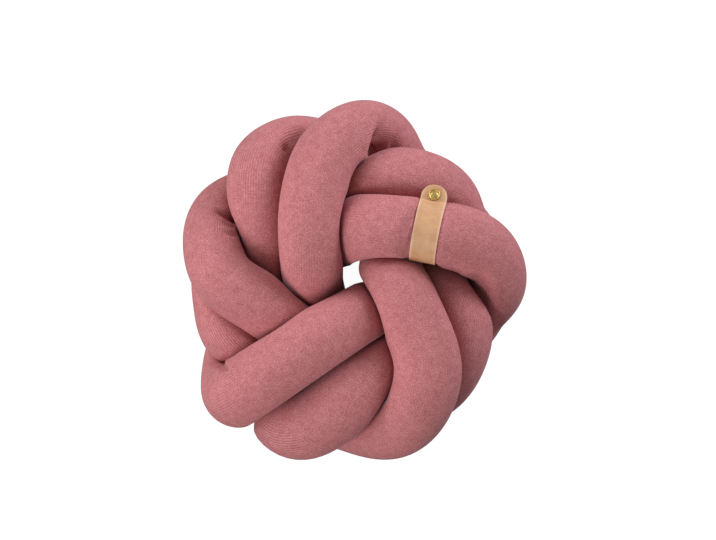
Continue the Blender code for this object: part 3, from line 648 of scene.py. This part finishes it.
# the long edges turn paler: partly the cut edge's own colour, partly a painted highlight of the
# rounded edges catching the light
from_middle = add_node(tree, "ShaderNodeAttribute", attribute_name="from middle")
paler = add_node(tree, "ShaderNodeMapRange", {
    "Value": from_middle.outputs["Fac"], "From Min": 0.78, "From Max": 1.0, "To Min": 0.0,
    "To Max": 0.75}, interpolation_type="SMOOTHSTEP")
tan = add_node(tree, "ShaderNodeMix", {
    0: paler.outputs[0], 6: ramp.outputs[0], 7: linear(CUT_EDGE_AND_HIGHLIGHT)}, data_type="RGBA")
grain = add_node(tree, "ShaderNodeMath", {0: fibre.outputs[0], 1: 0.5, 2: pores.outputs[0]},
                 operation="MULTIPLY_ADD")
bump = add_node(tree, "ShaderNodeBump", {
    "Strength": 0.15, "Distance": 0.2 * MM, "Height": grain.outputs[0]})
hide = add_node(tree, "ShaderNodeBsdfPrincipled", {
    "Base Color": tan.outputs[2], "Roughness": 0.4, "Normal": bump.outputs[0]})
add_node(tree, "ShaderNodeOutputMaterial", {"Surface": hide.outputs[0]})
leather_strap.data.materials.append(leather)

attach(leather_strap, "root")
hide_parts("leather_strap")

# ==== Brass stud ==============================================================================
# A turned brass stud through both ends of the strap: a 10 mm head with a raised rim round a flat
# inner disc, a post, and a small round back that is riveted on under the leather.

# (radius, height above the strap) from the top of the head down its outer side to the back.
STUD_PROFILE = [
    (0.0, 1.42), (1.2, 1.42), (2.0, 1.40), (2.35, 1.33), (2.55, 1.15), (2.75, 0.98), (3.1, 0.92),
    (3.5, 0.95), (3.7, 1.1), (3.85, 1.35), (4.05, 1.55), (4.3, 1.62), (4.55, 1.58), (4.8, 1.42),
    (4.95, 1.15), (5.0, 0.85), (4.97, 0.5), (4.8, 0.3), (4.5, 0.24), (1.3, 0.24), (1.3, -4.35),
    (1.75, -4.35), (1.9, -4.5), (1.9, -4.95), (1.75, -5.1), (0.0, -5.1),
]
STUD_SIDES = 72
STUD_FROM_TIP = 9.2      # from the strap's front tip to the middle of the stud


def turned(profile, sides, axis_at, axis):
    """Points, quads and triangles of a profile turned round an axis: each point of it becomes a
    circle of its own radius at its own height; the first and the last one are on the axis and
    close the shape."""
    across = unit(np.cross(axis, (0.0, 0.3, 1.0)))
    beside = np.cross(axis, across)
    angle = np.arange(sides) * 2 * math.pi / sides
    ring = np.cos(angle)[:, None] * across + np.sin(angle)[:, None] * beside
    radii, heights = np.array(profile[1:-1]).T
    rings = (axis_at + radii[:, None, None] * ring[None] + heights[:, None, None] * axis)
    poles = np.array([axis_at + profile[0][1] * axis, axis_at + profile[-1][1] * axis])
    quads = grid_faces(len(radii), sides, False)[:, ::-1]
    j = np.arange(sides)
    top, bottom = len(radii) * sides, len(radii) * sides + 1
    last = (len(radii) - 1) * sides
    fans = np.vstack([np.stack([j, (j + 1) % sides, np.full(sides, top)], axis=1),
                      np.stack([last + (j + 1) % sides, last + j, np.full(sides, bottom)], axis=1)])
    return np.vstack([rings.reshape(-1, 3), poles]), quads, fans


stud_middle, into_strap = cut(strap_flow, strap_length, np.array([STUD_FROM_TIP]))
stud_axis = -into_strap[0, 0] * seat_out - into_strap[0, 1] * seat_up
stud_seat = stud_middle[0] - into_strap[0] * STRAP_THICK / 2
stud_at = on_ground(seat_at + stud_seat[0] * seat_out + stud_seat[1] * seat_up)
brass_stud = add_piece("brass_stud_turned", *turned(STUD_PROFILE, STUD_SIDES, stud_at, stud_axis))

# Brass, turned and lacquered: yellow metal with a clear shine, slightly dulled by fine handling
# marks.
BRASS_YELLOW = "#D3B46C"
MARK = 1.2               # between two marks

brass, tree = new_material("lacquered_brass")
where = add_node(tree, "ShaderNodeTexCoord")
marks = add_node(tree, "ShaderNodeTexNoise", {
    "Vector": where.outputs["Object"], "Scale": 1 / (MARK * MM), "Detail": 3.0, "Roughness": 0.6})
dull = add_node(tree, "ShaderNodeMapRange", {
    "Value": marks.outputs[0], "To Min": 0.38, "To Max": 0.55})
bump = add_node(tree, "ShaderNodeBump", {
    "Strength": 0.08, "Distance": 0.05 * MM, "Height": marks.outputs[0]})
metal = add_node(tree, "ShaderNodeBsdfPrincipled", {
    "Base Color": linear(BRASS_YELLOW), "Metallic": 1.0, "Roughness": dull.outputs[0],
    "Normal": bump.outputs[0]})
add_node(tree, "ShaderNodeOutputMaterial", {"Surface": metal.outputs[0]})
brass_stud.data.materials.append(brass)

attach(brass_stud, "root")
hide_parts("brass_stud")

# ==== Floor, light and camera ==================================================================
# A plain white floor that shines by itself, so that it stays white right up to the cushion, and
# plain soft light: a low softbox on each side of the top of the face, a third one over its lower
# left, and an even white surrounding.

FLOOR_HALF = 6.0         # metres from the cushion to the floor's edges
UNDERLAY_DEPTH = 0.002   # metres below the floor
PAPER_GREY = "#6E6E6E"   # what the paper throws back; its own light makes it white
FELT_BROWN = "#5A4A4A"


def ground_sheet(name, height):
    """A flat square on the ground at a height in metres."""
    corners = [(x * FLOOR_HALF, y * FLOOR_HALF, height)
               for x, y in ((-1, -1), (1, -1), (1, 1), (-1, 1))]
    mesh = bpy.data.meshes.new(name)
    mesh.from_pydata(corners, [], [(0, 1, 2, 3)])
    sheet = bpy.data.objects.new(name, mesh)
    bpy.context.scene.collection.objects.link(sheet)
    return sheet


floor = ground_sheet("floor", 0)
paper, tree = new_material("white_paper")
page = add_node(tree, "ShaderNodeBsdfPrincipled", {
    "Base Color": linear(PAPER_GREY), "Roughness": 0.9, "Emission Color": (1, 1, 1, 1),
    "Emission Strength": 0.96})
add_node(tree, "ShaderNodeOutputMaterial", {"Surface": page.outputs[0]})
floor.data.materials.append(paper)
floor.visible_diffuse = False
floor.visible_glossy = False

# The floor gives no light to the cushion; a dark cloth under it keeps out what would come up.
underlay = ground_sheet("underlay", -UNDERLAY_DEPTH)
felt, tree = new_material("dark_felt")
nap = add_node(tree, "ShaderNodeBsdfPrincipled", {
    "Base Color": linear(FELT_BROWN), "Roughness": 1.0})
add_node(tree, "ShaderNodeOutputMaterial", {"Surface": nap.outputs[0]})
underlay.data.materials.append(felt)

SOFTBOX_SIDE = 0.8       # metres
LIT_POINT = (0, 0, 0.08)
DAYLIGHT = (0.9, 0.94, 1.0)
WHITE = (1, 1, 1)
SURROUNDING_LIGHT = 0.33


def softbox(name, place, power, colour):
    """A square area light at a place, turned to face the middle of the cushion."""
    lamp = bpy.data.lights.new(name, "AREA")
    lamp.size = SOFTBOX_SIDE
    lamp.energy = power
    lamp.color = colour
    light = bpy.data.objects.new(name, lamp)
    light.location = place
    away = np.array(place) - np.array(LIT_POINT)
    tilt = math.acos(away[2] / np.linalg.norm(away))
    light.rotation_euler = (tilt, 0, math.atan2(away[1], away[0]) + math.pi / 2)
    bpy.context.scene.collection.objects.link(light)


softbox("softbox_right", (1.2, 1.1, 0.55), 22, DAYLIGHT)
softbox("softbox_left", (-1.2, 1.1, 0.55), 16.5, WHITE)
softbox("softbox_below", (-0.95, -0.95, 1.08), 16, WHITE)

world = bpy.data.worlds.new("surrounding")
world.use_nodes = True
surrounding = world.node_tree.nodes["Background"]
surrounding.inputs["Color"].default_value = (1, 1, 1, 1)
surrounding.inputs["Strength"].default_value = SURROUNDING_LIGHT
bpy.context.scene.world = world
bpy.context.scene.view_settings.view_transform = "Standard"

# The camera looks straight down. The photo is 716 by 540 pixels, and the widest outline of the
# cushion, which sets their size, lies 95 mm up.
PIXELS_ACROSS = 716
PIXEL = 0.852            # mm at the outline's height
OUTLINE_UP = 95 * MM
CAMERA_OVER = (3.40 * MM, 8.19 * MM)
CAMERA_AWAY = 3.0        # metres above the outline
SENSOR = 36
camera = bpy.data.cameras.new("camera")
camera.sensor_width = SENSOR
camera.lens = SENSOR * CAMERA_AWAY / (PIXELS_ACROSS * PIXEL * MM)
camera.clip_end = 20
eye = bpy.data.objects.new("camera", camera)
eye.location = (*CAMERA_OVER, OUTLINE_UP + CAMERA_AWAY)
bpy.context.scene.collection.objects.link(eye)
bpy.context.scene.camera = eye
